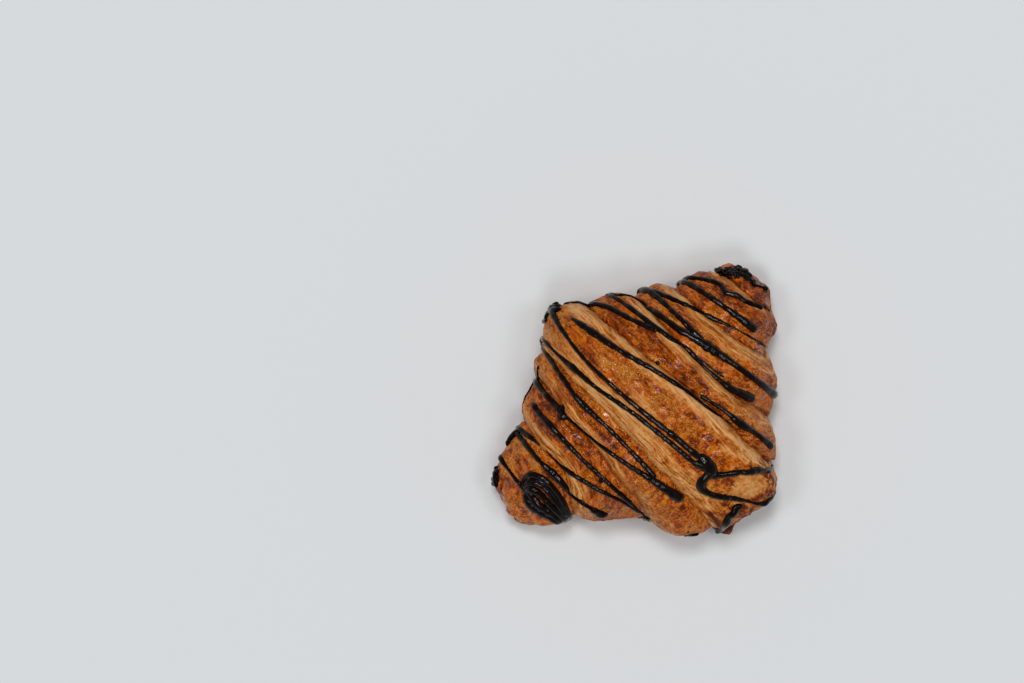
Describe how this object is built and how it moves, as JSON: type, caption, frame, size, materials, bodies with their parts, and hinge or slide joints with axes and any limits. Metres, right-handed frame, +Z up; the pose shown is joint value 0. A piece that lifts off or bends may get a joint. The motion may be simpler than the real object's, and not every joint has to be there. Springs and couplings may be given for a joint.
{
  "type": "chocolate croissant",
  "caption": "Baked croissant of laminated dough rolled into overlapping wraps, with thick dark chocolate drizzled to and fro across its glossy browned top.",
  "frame": {"origin": "centre of the flat base that it rests on, below the middle of its outline", "axes": "+X along the roll, towards its thinner end; +Y to the back, the side that lies uppermost in the picture; +Z up"},
  "size_m": [0.129, 0.1099, 0.0571],
  "materials": {
    "crust": "satin",
    "chocolate": "gloss"
  },
  "bodies": {
    "root": {"croissant": "crust"}
  },
  "joints": []
}
